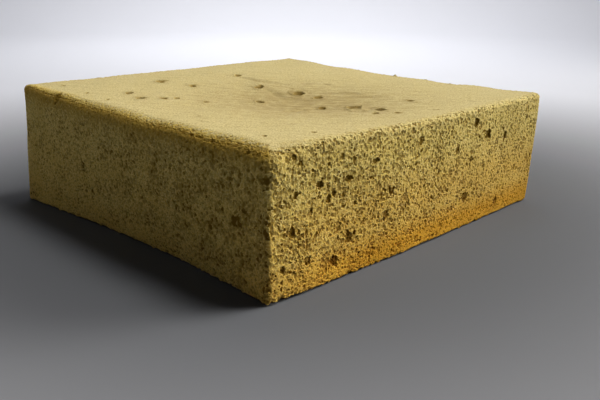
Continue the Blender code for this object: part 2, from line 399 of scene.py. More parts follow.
def wear(plain):
    """How far the worn edges have moved in."""
    away = from_walls(plain)
    nearest = np.min(list(away.values()), axis=0)
    low = np.clip(1 - np.hypot(plain[:, 2], nearest) / FOOT_LIFT_HEIGHT, 0, 1) ** 2
    uneven = 1 + FOOT_UNEVEN * unevenness(plain, FOOT_WAVE, FOOT_SEED)
    moved = FOOT_LIFT * low * uneven

    along = np.where(away["front"] < away["left"], away["left"], away["front"])
    torn = step(0, TORN_FROM, along) * (1 - step(TORN_FROM, TORN_TO, along))
    torn *= away["front"] < away["left"]
    ragged = TORN_SHARE * (1 + unevenness(plain, TORN_WAVE, TORN_SEED))
    ragged = np.clip(ragged, 0, WORN_MOST)
    depth = np.clip(1 - np.hypot(plain[:, 2], nearest) / TORN_HEIGHT, 0, 1)
    moved += TORN_FOOT * torn * ragged * depth**TORN_SHAPE

    crumbs = np.clip(unevenness(plain, RIM_WORN_WAVE, RIM_WORN_SEED), 0, WORN_MOST)
    worn = np.zeros(len(plain))
    for side, deep in RIM_WORN.items():
        rim = 1 - np.hypot(HEIGHT - plain[:, 2], away[side]) / RIM_WORN_REACH
        worn = np.maximum(worn, deep * np.clip(rim, 0, 1) * crumbs)
    return moved + worn


# %% [markdown]
# ## The holes that catch the eye
#
# A few dozen bubbles are far larger than the rest. They are in the solid too, so they keep the
# same places here: some by name, the others scattered over the walls by the same rule. Each is
# cut as a ball: a point of the wall that lies inside it moves straight in until it meets the
# ball's far side. A wobble in the distance makes each hole ragged, and most of them are only
# the cap of a bubble, so they go less deep than a whole ball would. The depth of each hole
# sets the painted shade in it, and the scattered ones get less painted shade on the left and
# back walls than on the other two.

# %% Sizes of the larger holes
BUBBLES_A_WALL = 15
SMALL_BUBBLE = 1.5 * MM
LARGE_BUBBLE = 2.7 * MM
BUBBLE_TALL = (0.9, 1.3)
BUBBLE_APART = 9.5 * MM
BUBBLE_EDGE = 6.8 * MM
BUBBLE_SINK = 0.3
CRUMB_SEED = 5
NAMED_DEEP = 0.25
SCATTERED_DEEP = 0.12
# How much painted shade the scattered holes get on each wall.
SCATTERED_SHADE = {"front": 1.0, "left": 0.25, "back": 0.6, "right": 1.0}

# From the wall's left end, height, across, tall, in mm.
NAMED_HOLES = {
    "front": [
        (13.0, 27.5, 4.2, 5.4),
        (20.5, 25.5, 2.0, 5.0),
        (8.0, 13.5, 2.8, 3.4),
        (28.0, 44.0, 4.4, 4.6),
        (33.0, 37.0, 3.8, 3.8),
        (14.5, 42.0, 3.6, 3.6),
        (45.0, 43.5, 4.8, 3.6),
        (61.5, 48.5, 4.4, 3.2),
        (138.0, 55.0, 4.6, 6.2),
        (150.0, 47.0, 5.6, 5.4),
        (167.0, 43.5, 3.2, 6.4),
    ],
    "left": [
        (39.0, 60.0, 5.0, 8.0),
        (176.0, 30.0, 4.0, 5.2),
    ],
}

# %% Places of the larger holes
WALLS = {
    "front": (lambda along: (along - WIDTH / 2, -DEPTH / 2), (0, -1), WIDTH),
    "left": (lambda along: (-WIDTH / 2, DEPTH / 2 - along), (-1, 0), DEPTH),
    "back": (lambda along: (WIDTH / 2 - along, DEPTH / 2), (0, 1), WIDTH),
    "right": (lambda along: (WIDTH / 2, along - DEPTH / 2), (1, 0), DEPTH),
}


def wall_holes(wall, draw):
    """(along, height, across, tall) of the bubbles that show on one wall, none near another."""
    length = WALLS[wall][2]
    named = NAMED_HOLES.get(wall, [])
    holes = [tuple(size * MM for size in hole) for hole in named]
    while len(holes) < BUBBLES_A_WALL + len(named):
        along = draw.uniform(BUBBLE_EDGE, length - BUBBLE_EDGE)
        height = draw.uniform(BUBBLE_EDGE, HEIGHT - BUBBLE_EDGE)
        radius = SMALL_BUBBLE + (LARGE_BUBBLE - SMALL_BUBBLE) * draw.random() ** 2
        if all(math.dist(hole[:2], (along, height)) > BUBBLE_APART for hole in holes):
            tall = 2 * radius * draw.uniform(*BUBBLE_TALL)
            holes.append((along, height, 2 * radius, tall))
    return holes


def all_holes():
    """(centre, size along x, y and z, depth share, how much painted shade) of every larger hole."""
    draw = random.Random(CRUMB_SEED)
    holes = []
    for wall, (place, way, _) in WALLS.items():
        named = len(NAMED_HOLES.get(wall, []))
        for number, (along, height, across, tall) in enumerate(wall_holes(wall, draw)):
            centre = on_surface((*place(along), height))
            centre[:2] -= np.array(way) * across * BUBBLE_SINK
            deep, shade = NAMED_DEEP, 1.0
            if number >= named:
                deep, shade = SCATTERED_DEEP, SCATTERED_SHADE[wall]
            holes.append((centre, (across, across, tall), deep, shade))
    return holes


HOLES = all_holes()
print(len(HOLES), "larger holes in the walls")

# %% Cut a larger hole
WOBBLE_WAVE = 2.6 * MM
WOBBLE = 0.15
WOBBLE_SEED = 11


def cut_ball(points, ways, centre, size, deep):
    """How far the points inside a ragged ball travel to reach the ball's far side."""
    travel = np.zeros(len(points))
    close = np.flatnonzero((np.abs(points - centre) < max(size)).all(axis=1))
    if not len(close):
        return travel
    radii = np.array(size) / 2
    wobble = 1 + WOBBLE * unevenness(points[close], WOBBLE_WAVE, WOBBLE_SEED)
    away = (points[close] - centre) / radii * wobble[:, None]
    way = ways[close] / radii
    half = (away * way).sum(axis=1)
    length = np.maximum((way**2).sum(axis=1), TINY)
    inside = (away**2).sum(axis=1) < 1
    root = np.sqrt(np.maximum(half**2 - length * ((away**2).sum(axis=1) - 1), 0))
    travel[close] = np.where(inside, deep * (half + root) / length, 0)
    return travel


# %% [markdown]
# ## Craters and creases of the top
#
# The paper took some of the skin with it when the top was peeled. It left craters with a torn,
# slightly raised lip, brown inside where the crust was, and the middle sank so far that the
# skin creased. Each crater is a bowl with a wobbly outline. Each crease is a groove along a
# line of a few points.

# %% Sizes of the craters and creases
# From the middle of the slab, across, deep, in mm. The first thirteen are in the solid too.
CRATERS = [
    (14.0, 1.0, 7.4, 3.0),
    (4.5, -48.5, 8.2, 3.4),
    (5.0, 23.5, 6.0, 2.4),
    (-20.0, -5.5, 5.2, 2.2),
    (14.5, -14.5, 5.6, 1.8),
    (18.5, 58.0, 5.0, 1.6),
    (-34.0, 62.5, 6.0, 1.8),
    (-25.5, 44.5, 4.8, 1.6),
    (-68.0, 40.5, 4.6, 1.8),
    (-70.5, 25.5, 5.2, 1.8),
    (-61.5, 18.5, 4.4, 1.6),
    (7.0, -63.0, 5.4, 2.0),
    (35.5, -59.5, 4.4, 1.6),
    (-5.0, -36.0, 4.2, 1.8),
    (-48.0, 3.0, 3.8, 1.3),
    (-55.5, 16.0, 3.2, 1.1),
    (-86.5, 29.5, 2.4, 1.0),
    (-84.0, 80.5, 2.8, 1.0),
    (-86.0, 51.0, 2.2, 0.8),
    (-3.5, -68.5, 3.6, 1.4),
    (3.0, -76.0, 3.4, 1.2),
    (-85.0, -81.0, 2.6, 0.8),
    (-65.0, -87.5, 2.6, 0.8),
    (-77.0, -30.5, 2.2, 0.9),
]

# Points of each crease from the middle of the slab, across, deep, in mm.
CREASES = [
    ([(-30.0, -37.5), (-16.0, -34.5), (-7.0, -37.5), (-3.5, -48.0)], 2.4, 1.4),
    ([(5.5, 21.5), (2.5, 7.0), (-2.0, -5.0), (1.5, -13.5)], 3.4, 1.3),
    ([(12.5, 60.5), (16.0, 51.0), (15.5, 36.5), (21.5, 20.5)], 2.6, 1.1),
    ([(24.0, -10.0), (33.0, -16.5), (35.0, -27.0)], 2.2, 0.8),
    ([(17.0, -20.0), (26.5, -27.5), (38.5, -40.0)], 2.2, 0.8),
    ([(30.0, 16.0), (37.5, 13.5)], 2.0, 0.8),
    ([(41.0, 9.0), (44.5, 5.0)], 2.0, 0.8),
    ([(0.0, -59.0), (8.0, -57.0), (4.5, -67.0)], 2.0, 1.0),
    ([(-60.5, -66.0), (-55.0, -68.5)], 1.4, 0.6),
    ([(19.5, -84.0), (21.5, -87.0)], 1.4, 0.6),
    ([(50.5, -83.5), (54.0, -86.5)], 1.4, 0.6),
    ([(-85.0, -40.0), (-82.5, -45.5)], 1.4, 0.6),
]

PEELED_WAY = np.array([0.71, 0.70])
PEELED_SIDE = np.array([0.70, -0.71])
PEELED_LONGER = 1.7
CRATER_DEPTH = 0.7
CRATER_SIZE = 0.85
CREASE_DEPTH = 0.42
CREASE_WIDER = 2.0
# How much darker the top is along a crease.
CREASE_DARKER = 0.35

CRATER_WAVE = 4.5 * MM
CRATER_WOBBLE = 0.22
CRATER_SEED = 51

# The places across a crater, and then across a crease, are shares of its half width.
LIP = 0.15
LIP_AT = 1.2
LIP_WIDTH = 0.28
SKIN_TORN = (1.15, 0.8)
STAINED = (1.2, 0.6)
HALO = (3.0, 0.9)
HALO_STAIN = 0.38
STAINED_FROM = 2.6
RIDGE = 0.25
RIDGE_AT = 1.9
CREASE_STAINED = 1.3
CREASE_ENDS = (0.04, 0.96)
CREASE_TAPER = 0.5
CREASE_WOBBLE = 0.5 * MM
CREASE_WAVE = 7 * MM
CREASE_SEED = 53


# %% Shape the craters and creases
def craters(plain):
    """(how far each point goes down, how torn the skin is, how brown) round the craters."""
    flat = plain * [1, 1, 0]
    wobble = 1 + CRATER_WOBBLE * unevenness(flat, CRATER_WAVE, CRATER_SEED)
    down, torn, brown = np.zeros((3, len(plain)))
    for x, y, across, deep in CRATERS:
        away = plain[:, :2] - [x * MM, y * MM]
        share = np.hypot(away @ PEELED_WAY / PEELED_LONGER, away @ PEELED_SIDE)
        share *= wobble / (across * MM / 2 * CRATER_SIZE)
        bowl = np.clip(1 - share**2, 0, 1)
        lip = np.exp(-(((share - LIP_AT) / LIP_WIDTH) ** 2))
        down += CRATER_DEPTH * deep * MM * (bowl - LIP * lip * (share > 1))
        torn = np.maximum(torn, step(*SKIN_TORN, share))
        stain = np.maximum(step(*STAINED, share), HALO_STAIN * step(*HALO, share))
        brown = np.maximum(brown, stain * min(deep / STAINED_FROM, 1))
    return down, torn, brown


def along_line(plain, line):
    """Distance of each point from a line of a few points, and how far along it lies."""
    line = np.array(line) * MM
    best = np.full(len(plain), np.inf)
    along = np.zeros(len(plain))
    done = 0.0
    total = np.linalg.norm(np.diff(line, axis=0), axis=1).sum()
    for start, end in zip(line, line[1:]):
        run = end - start
        share = np.clip((plain[:, :2] - start) @ run / (run @ run), 0, 1)
        away = np.linalg.norm(plain[:, :2] - start - share[:, None] * run, axis=1)
        nearer = away < best
        along = np.where(nearer, (done + share * np.linalg.norm(run)) / total, along)
        best = np.minimum(best, away)
        done += np.linalg.norm(run)
    return best, along


def creases(plain):
    """(how far each point goes down, how brown) along the creases."""
    flat = plain * [1, 1, 0]
    wander = CREASE_WOBBLE * unevenness(flat, CREASE_WAVE, CREASE_SEED)
    down, brown = np.zeros((2, len(plain)))
    for line, across, deep in CREASES:
        away, along = along_line(plain, line)
        share = np.abs(away + wander) / (across * MM / 2 * CREASE_WIDER)
        fade = np.sin(math.pi * np.clip(along, *CREASE_ENDS)) ** CREASE_TAPER
        groove = np.exp(-(share**2))
        ridge = np.exp(-((share - RIDGE_AT) ** 2))
        down += CREASE_DEPTH * deep * MM * fade * (groove - RIDGE * ridge)
        stain = np.exp(-((share / CREASE_STAINED) ** 2))
        brown = np.maximum(brown, CREASE_DARKER * fade * stain)
    return down, brown


# %% Crumbs on the far rim
# A few crumbs cling to the rim. They are raised out of the skin rather than laid on it, so that
# they stay part of the same closed piece. From the middle of the slab, across, tall, in mm.
RIM_CRUMBS = [
    (97.0, -0.5, 2.2, 1.3),
    (96.6, -24.0, 1.6, 0.5),
    (96.6, -41.5, 2.0, 0.7),
    (96.8, 30.0, 1.6, 0.5),
    (96.0, 95.5, 2.0, 0.4),
    (-56.0, 95.0, 2.2, 0.25),
]
CRUMB_STAIN = 0.7


def rim_crumbs(plain):
    """(how far each point rises, how brown) at the crumbs on the rim."""
    rise, brown = np.zeros((2, len(plain)))
    for x, y, across, tall in RIM_CRUMBS:
        share = np.linalg.norm(plain[:, :2] - [x * MM, y * MM], axis=1) / (across * MM / 2)
        crumb = np.exp(-(share**2))
        rise += tall * MM * crumb
        brown = np.maximum(brown, CRUMB_STAIN * crumb)
    return rise, brown


# %% [markdown]
# ## Where the crumb is open
#
# The knife has opened the bubbles of the walls. The top was peeled, so its bubbles stayed shut,
# and its skin ends in a ragged line along the rim. Just below that line the crumb is tinted:
# ochre and less open on the left, partly where some crust stayed on and partly as painted light
# that glows through the thin rim over the shaded wall, and pale on the other sides.
# Baking also makes the bubbles larger higher up, where the batter was free to rise, and presses
# them flat into layers near the base. Each point gets its place in a stretched space in which
# every bubble is a round ball, so that one rule can cut flat bubbles low down and round ones
# higher up.

# %% How open the crumb is
SKIN_REACH = 2.2 * MM
SKIN_STARTS = {"left": 5.0 * MM, "front": 1.8 * MM, "back": 2.0 * MM, "right": 2.0 * MM}
SKIN_RAGGED = 2.0 * MM
SKIN_WAVE = 2.6 * MM
SKIN_SEED = 21
# How strong the ochre band is on each side. On the shaded left it is partly painted light.
OCHRE_SIDES = {"left": 1.0, "front": 0.0, "back": 0.4, "right": 0.2}
PALE_SIDES = {"left": 0.0, "front": 0.9, "back": 0.4, "right": 0.7}
OCHRE_SHUTS = 0.25
OCHRE_BELOW = 2.5 * MM
PALE_BELOW = -1.5 * MM
RIM_BAND = 5.0 * MM
RIM_INSIDE = 9 * MM
RIM_CORNER = 2.5 * MM
OCHRE_RAGGED = 2.0 * MM
PALE_RAGGED = 0.9 * MM
RIM_WAVE = 1.8 * MM
RIM_SEED = 23
OPEN_AT_BASE = 1.0
OPEN_AT_RIM = 1.12
OPEN_NEAR = 1.05
OPEN_FAR = 0.74
OPEN_REACH = 170 * MM
OPEN_PATCH = 0.12
OPEN_PATCH_WAVE = 15 * MM
OPEN_SEED = 31

FLAT_BELOW = 4 * MM
ROUND_ABOVE = 20 * MM
SQUASH_LOW = 1.2
SQUASH_HIGH = 1.0
TABLE_STEPS = 400


def skin_of(plain):
    """1 on the peeled top, 0 on the cut walls, with a ragged change along the rim."""
    inward = np.min([away - SKIN_STARTS[side] for side, away in from_walls(plain).items()], axis=0)
    over_rim = inward - (HEIGHT - plain[:, 2])
    ragged = SKIN_RAGGED * unevenness(plain, SKIN_WAVE, SKIN_SEED)
    return step(-SKIN_REACH, SKIN_REACH, over_rim + ragged)


def rim_of(plain, sides, below, raggedness):
    """How strongly the crumb is tinted just below the rim, where the peeled skin ended."""
    down = HEIGHT - plain[:, 2]
    ragged = raggedness * unevenness(plain, RIM_WAVE, RIM_SEED)
    tint = np.zeros(len(plain))
    for side, away in from_walls(plain).items():
        place = (down - away + ragged - below) / RIM_BAND
        round_corner = np.minimum(down, away) / RIM_CORNER
        band = sides[side] * np.exp(-(place**2) - round_corner**2)
        tint = np.maximum(tint, band * (away < RIM_INSIDE))
    return tint


# The ochre band is partly crust and partly painted light that glows through the thin rim over the
# shaded wall.
def ochre_and_glow_of(plain):
    return rim_of(plain, OCHRE_SIDES, OCHRE_BELOW, OCHRE_RAGGED)


def pale_of(plain):
    return rim_of(plain, PALE_SIDES, PALE_BELOW, PALE_RAGGED)


def open_of(plain, skin):
    """How open the crumb is: tighter at the base, wider higher up, shut under the skin."""
    rise = plain[:, 2] / HEIGHT
    openness = OPEN_AT_BASE + (OPEN_AT_RIM - OPEN_AT_BASE) * rise
    openness += OPEN_PATCH * unevenness(plain, OPEN_PATCH_WAVE, OPEN_SEED)
    near_corner = np.array([-WIDTH, -DEPTH]) / 2
    share = np.linalg.norm(plain[:, :2] - near_corner, axis=1) / OPEN_REACH
    openness *= OPEN_NEAR + (OPEN_FAR - OPEN_NEAR) * np.clip(share, 0, 1)
    openness *= 1 - OCHRE_SHUTS * ochre_and_glow_of(plain)
    return openness * (1 - skin)


def foam_space(points, ways):
    """Places and ways out in the space where every bubble is round."""
    heights = np.linspace(-HEIGHT, 2 * HEIGHT, TABLE_STEPS)
    squash = SQUASH_LOW + (SQUASH_HIGH - SQUASH_LOW) * step(FLAT_BELOW, ROUND_ABOVE, heights)
    reached = np.concatenate([[0], np.cumsum(squash[1:] * np.diff(heights))])
    place, way = points.copy(), ways.copy()
    place[:, 2] = np.interp(points[:, 2], heights, reached)
    way[:, 2] *= np.interp(points[:, 2], heights, squash)
    return place, way


# %% [markdown]
# ## Thousands of bubbles by one rule
#
# Cutting each small bubble by hand is out of the question, so Geometry Nodes do it. A 3-D
# Voronoi pattern scatters cell centres through the whole cake. Each centre carries a ball of
# its own size, and a point of the wall that lies in a ball moves in to the ball's far side, as
# the larger holes do. Since the centres lie through the body, the cut shows wide bubbles and
# the mere caps of others, as a knife does. The same tree is used three times, from wide
# bubbles to fine ones, and each use starts from the surface that the last one left.


# %% Helpers that add nodes
def fill(tree, node, inputs):
    """Fills a node's sockets with values or with other nodes' outputs."""
    for socket, value in inputs.items():
        if isinstance(value, bpy.types.NodeSocket):
            tree.links.new(value, node.inputs[socket])
        else:
            node.inputs[socket].default_value = value


def add(tree, kind, inputs=None, **settings):
    """Adds a node, sets it up and fills its sockets."""
    node = tree.nodes.new(kind)
    for name, value in settings.items():
        setattr(node, name, value)
    fill(tree, node, inputs or {})
    return node


def new_tree(name, inputs):
    """An empty geometry tree with named inputs, and its input and output nodes."""
    tree = bpy.data.node_groups.new(name, "GeometryNodeTree")
    tree.interface.new_socket("Geometry", in_out="INPUT", socket_type="NodeSocketGeometry")
    for label, kind in inputs.items():
        tree.interface.new_socket(label, in_out="INPUT", socket_type=kind)
    tree.interface.new_socket("Geometry", in_out="OUTPUT", socket_type="NodeSocketGeometry")
    return tree, add(tree, "NodeGroupInput").outputs, add(tree, "NodeGroupOutput")


# %% Short names for sums
class Sums:
    """Short names for the sums that a tree makes."""

    def __init__(self, tree):
        self.tree = tree

    def maths(self, operation, *values):
        inputs = dict(enumerate(values))
        return add(self.tree, "ShaderNodeMath", inputs, operation=operation).outputs[0]

    def times(self, one, other):
        return self.maths("MULTIPLY", one, other)

    def vectors(self, operation, *values, output="Vector"):
        inputs = dict(enumerate(values))
        node = add(self.tree, "ShaderNodeVectorMath", inputs, operation=operation)
        return node.outputs[output]

    def scaled(self, vector, scale):
        inputs = {0: vector, "Scale": scale}
        node = add(self.tree, "ShaderNodeVectorMath", inputs, operation="SCALE")
        return node.outputs["Vector"]

    def stored(self, name, kind="FLOAT"):
        inputs = {"Name": name}
        node = add(self.tree, "GeometryNodeInputNamedAttribute", inputs, data_type=kind)
        return node.outputs["Attribute"]

    def store(self, geometry, name, value, kind="FLOAT"):
        inputs = {"Geometry": geometry, "Name": name, "Value": value}
        kinds = {"data_type": kind, "domain": "POINT"}
        return add(self.tree, "GeometryNodeStoreNamedAttribute", inputs, **kinds).outputs[0]

    def move_in(self, geometry, travel):
        """Moves the points in by a distance, and adds it to the depth that they store."""
        # The distance is stored first, because it would change as soon as the points move.
        measured = self.store(geometry, "travel", travel)
        travel = self.stored("travel")
        back = self.times(travel, -1.0)
        offset = self.scaled(self.stored("way_out", "FLOAT_VECTOR"), back)
        inputs = {"Geometry": measured, "Offset": offset}
        moved = add(self.tree, "GeometryNodeSetPosition", inputs).outputs[0]
        depth = self.maths("ADD", self.stored("pore"), travel)
        deeper = self.store(moved, "pore", depth)
        shift = self.scaled(self.stored("foam_way", "FLOAT_VECTOR"), back)
        place = self.vectors("ADD", self.stored("foam_place", "FLOAT_VECTOR"), shift)
        return self.store(deeper, "foam_place", place, "FLOAT_VECTOR")

    def finish(self, geometry, material, out):
        """Ends the tree with real geometry in its material."""
        real = add(self.tree, "GeometryNodeRealizeInstances", {"Geometry": geometry})
        inputs = {"Geometry": real.outputs[0], "Material": material}
        coated = add(self.tree, "GeometryNodeSetMaterial", inputs)
        self.tree.links.new(coated.outputs[0], out.inputs[0])


# %% The tree that cuts bubbles
BUBBLE_INPUTS = {
    "Spacing": "NodeSocketFloat",
    "Smallest": "NodeSocketFloat",
    "Largest": "NodeSocketFloat",
    "Share": "NodeSocketFloat",
    "Deep": "NodeSocketFloat",
    "Ragged": "NodeSocketFloat",
    "Seed": "NodeSocketVector",
    "Material": "NodeSocketMaterial",
}


def bubble_tree():
    tree, given, out = new_tree("cut bubbles", BUBBLE_INPUTS)
    sums = Sums(tree)
    place = sums.stored("foam_place", "FLOAT_VECTOR")
    way = sums.stored("foam_way", "FLOAT_VECTOR")
    fineness = sums.maths("DIVIDE", 1.0, given["Spacing"])
    seeded = sums.vectors("ADD", place, given["Seed"])
    noise = add(tree, "ShaderNodeTexNoise", {"Vector": seeded, "Scale": fineness, "Detail": 1.0})
    wobble = sums.vectors("SUBTRACT", noise.outputs["Color"], (0.5, 0.5, 0.5))
    reach = sums.times(given["Ragged"], given["Spacing"])
    ragged = sums.vectors("ADD", seeded, sums.scaled(wobble, reach))

    cells = add(tree, "ShaderNodeTexVoronoi", {"Vector": ragged, "Scale": fineness})
    draw = add(tree, "ShaderNodeSeparateXYZ", {0: cells.outputs["Color"]}).outputs
    grown = sums.maths("POWER", draw["X"], 2.0)
    span = sums.maths("SUBTRACT", given["Largest"], given["Smallest"])
    size = sums.maths("MULTIPLY_ADD", grown, span, given["Smallest"])
    present = sums.maths("LESS_THAN", draw["Y"], given["Share"])
    wide = sums.times(sums.times(size, given["Spacing"]), present)
    radius = sums.times(wide, sums.stored("openness"))

    away = sums.vectors("SUBTRACT", ragged, cells.outputs["Position"])
    half = sums.vectors("DOT_PRODUCT", away, way, output="Value")
    length = sums.vectors("DOT_PRODUCT", way, way, output="Value")
    distance = sums.vectors("DOT_PRODUCT", away, away, output="Value")
    left = sums.maths("SUBTRACT", sums.times(radius, radius), distance)
    inside = sums.maths("GREATER_THAN", left, 0.0)
    square = sums.maths("MULTIPLY_ADD", left, length, sums.times(half, half))
    root = sums.maths("SQRT", sums.maths("MAXIMUM", square, 0.0))
    far_side = sums.maths("DIVIDE", sums.maths("ADD", half, root), length)
    travel = sums.times(sums.times(far_side, inside), given["Deep"])
    sums.finish(sums.move_in(given["Geometry"], travel), given["Material"], out)
    return tree


cut_bubbles = bubble_tree()
print(len(cut_bubbles.nodes), "nodes cut the bubbles")

# %% The tree that tears the grain and wrinkles the skin
# A knife tears the thin walls between bubbles rather than cutting them clean. The top has
# long wrinkles instead, which all run one way, because the slab shrank more one way.
GRAIN_INPUTS = {
    "Grain": "NodeSocketFloat",
    "Crumb depth": "NodeSocketFloat",
    "Skin depth": "NodeSocketFloat",
    "Wrinkle": "NodeSocketFloat",
    "Wrinkle depth": "NodeSocketFloat",
    "Wrinkle turn": "NodeSocketFloat",
    "Material": "NodeSocketMaterial",
}
WRINKLE_STRETCH = 0.3
WRINKLED_FLAT = 0.5
WRINKLED_SUNK = 0.6


def grain_tree():
    tree, given, out = new_tree("torn grain and wrinkles", GRAIN_INPUTS)
    sums = Sums(tree)
    place = add(tree, "GeometryNodeInputPosition").outputs[0]
    skin = sums.stored("skin")
    scale = sums.maths("DIVIDE", 1.0, given["Grain"])
    grain = add(tree, "ShaderNodeTexNoise", {"Vector": place, "Scale": scale, "Detail": 2.0})
    deep = sums.times(given["Skin depth"], skin)
    deep = sums.maths("MULTIPLY_ADD", given["Crumb depth"], sums.stored("openness"), deep)
    torn = sums.times(grain.outputs[0], deep)

    turned = add(
        tree,
        "ShaderNodeVectorRotate",
        {"Vector": place, "Angle": given["Wrinkle turn"]},
        rotation_type="Z_AXIS",
    )
    stretched = sums.vectors("MULTIPLY", turned.outputs[0], (WRINKLE_STRETCH, 1.0, 1.0))
    scale = sums.maths("DIVIDE", 1.0, given["Wrinkle"])
    fold = add(tree, "ShaderNodeTexNoise", {"Vector": stretched, "Scale": scale, "Detail": 2.0})
    sunken = sums.maths("MULTIPLY_ADD", sums.stored("sunk"), WRINKLED_SUNK, WRINKLED_FLAT)
    wrinkle = sums.times(fold.outputs[0], given["Wrinkle depth"])
    wrinkle = sums.times(wrinkle, sums.times(sunken, skin))
    travel = sums.maths("ADD", torn, wrinkle)
    sums.finish(sums.move_in(given["Geometry"], travel), given["Material"], out)
    return tree


tear_grain = grain_tree()
print(len(tear_grain.nodes), "nodes tear the grain")

# %% Sizes of the bubbles and the grain
# Spacing of the cell centres, smallest and largest radius as shares of it, the share of the
# cells that hold a bubble, how deep a bubble goes as a share of the whole ball, and how ragged
# its outline is.
BUBBLE_ROWS = [
    (8.0 * MM, 0.12, 0.22, 0.25, 0.25, 0.20),
    (3.2 * MM, 0.16, 0.40, 0.50, 0.26, 0.35),
    (1.5 * MM, 0.50, 0.82, 1.00, 0.27, 0.70),
]
BUBBLE_NAMES = ("Spacing", "Smallest", "Largest", "Share", "Deep", "Ragged")
BUBBLES = [dict(zip(BUBBLE_NAMES, row)) for row in BUBBLE_ROWS]
SEED_STEP = (0.37, 0.61, 0.83)
GRAIN = {
    "Grain": 0.9 * MM,
    "Crumb depth": 0.23 * MM,
    "Skin depth": 0.12 * MM,
    "Wrinkle": 4.5 * MM,
    "Wrinkle depth": 1.1 * MM,
    "Wrinkle turn": math.radians(45),
}


def give(modifier, values):
    """Sets a modifier's inputs by the identifiers of their sockets."""
    sockets = {item.name: item.identifier for item in modifier.node_group.interface.items_tree}
    for name, value in values.items():
        modifier[sockets[name]] = value


def cut_all_bubbles(obj, material):
    for number, sizes in enumerate(BUBBLES):
        modifier = obj.modifiers.new(f"bubbles {number}", "NODES")
        modifier.node_group = cut_bubbles
        give(modifier, sizes)
        give(modifier, {"Seed": [number * part for part in SEED_STEP]})
        give(modifier, {"Material": material})
    modifier = obj.modifiers.new("grain", "NODES")
    modifier.node_group = tear_grain
    give(modifier, GRAIN)
    give(modifier, {"Material": material})


def made_real(obj):
    """Turns the evaluated object into a plain mesh and drops its modifiers."""
    evaluated = obj.evaluated_get(bpy.context.evaluated_depsgraph_get())
    mesh = bpy.data.meshes.new_from_object(evaluated)
    old = obj.data
    obj.modifiers.clear()
    obj.data = mesh
    bpy.data.meshes.remove(old)
    mesh.name = obj.name


# %% [markdown]
# ## Dry sponge crumb, with its peeled top
#
# Sponge crumb is a foam of baked egg and flour: matt, and a little lighter where the knife tore it.
# Down in the bubbles it is painted darker, as painted shade, because light only arrives there
# after many bounces. Towards the foot it is painted a warmer gold, most of all on the front and
# right walls: partly the foot's own colour, mostly painted bounce light on the walls that face
# the lamps, with painted light at the foot's near end. The peeled top is paler and more even, and
# browner in its sunken middle. A photograph of crumb can't be used, so the colours come from the
# depth that the bubbles stored on the mesh, and from noise at real sizes.


# %% Colours of the crumb and the skin
def linear(hex_colour):
    """An sRGB hex colour as the linear numbers that Blender works with, by the sRGB standard."""
    parts = [int(hex_colour[k : k + 2], 16) / 255 for k in (1, 3, 5)]
    made = [p / 12.92 if p <= 0.04045 else ((p + 0.055) / 1.055) ** 2.4 for p in parts]
    return (*made, 1.0)


CRUMB_PALE = linear("#EEDB8C")
CRUMB_TAN = linear("#CFB054")
# Painted shade down in the bubbles.
PORE_SHADE_BROWN = linear("#785C12")
# The foot's gold: partly its own colour, mostly painted bounce light from below.
FOOT_GOLD_AND_BOUNCE = linear("#D89E28")
# Painted light on the near end of the foot.
FOOT_PAINTED_LIGHT = linear("#F4C050")
# Painted shade down in the bubbles of the foot.
FOOT_PORE_SHADE = linear("#744604")
SKIN_PALE = linear("#D6C68E")
SKIN_TAN = linear("#A6925C")
SKIN_BROWN = linear("#867044")
CRUST_BROWN = linear("#746030")
# Partly crust, partly painted light glowing through the rim over the shaded wall.
RIM_OCHRE_AND_GLOW = linear("#BC9A40")
RIM_PALE = linear("#D6C484")

# %% Where the colours go
# A pair is where a colour starts and where it is full, as a depth or as a strength of noise.
# Where there are four numbers, the last two are its shares at those places.
# How deep a bubble is where its painted shade starts, and where it is full.
PORE_SHOWS = (0.1 * MM, 0.6 * MM, 0.0, 0.95)
FINE_PORE = 1.0 * MM
FINE_EDGE = (0.12, 0.42, 1.0, 0.0)
FINE_SHARE = 0.6
GRAIN_SIZE = 0.7 * MM
GRAIN_DETAIL = 3.0
CRUMB_GRAIN = (0.35, 0.65)
SKIN_GRAIN = (0.3, 0.7)
PATCH = 14 * MM
PATCH_EDGE = (0.35, 0.7)
PATCH_SHARE = 0.35
BLOTCH = 5 * MM
SUNK_BLOTCHES = (0.3, 0.6, 0.5, 1.0)
SUNK_SHARE = 0.7
STAIN_BLOTCHES = (0.25, 0.6, 0.4, 0.85)
CRUST_SHOWS = (1.0 * MM, 2.2 * MM, 0.0, 0.8)
OCHRE_SHARE = 0.3
# The foot's gold, mostly painted bounce light: where it starts, where it is faint and where it is
# full, and its share on the left and back walls.
GOLD_FROM = 46 * MM
GOLD_MIDDLE = 25 * MM
GOLD_FULL = 7 * MM
GOLD_HIGH = 0.42
GOLD_SHARE = 0.93
GOLD_BOUNCE_LEFT = 0.3
GOLD_TURNS = 0.03
# Painted light on the near end of the foot: how far it reaches and how strong it is.
PAINTED_LIGHT_REACH = 60 * MM
PAINTED_LIGHT_SHARE = 0.85

# How matt it is, how light spreads in it, and its finest relief on the crumb and on the skin.
ROUGH = (0.3, 0.7, 0.86, 1.0)
SHEEN = 0.1
GLOW = 0.3
GLOW_REACH = 1.2 * MM
GLOW_SPREAD = (1.0, 0.85, 0.6)
DENTS = (-0.1 * MM, -0.08 * MM)
LUMPS = (0.12 * MM, 0.2 * MM)


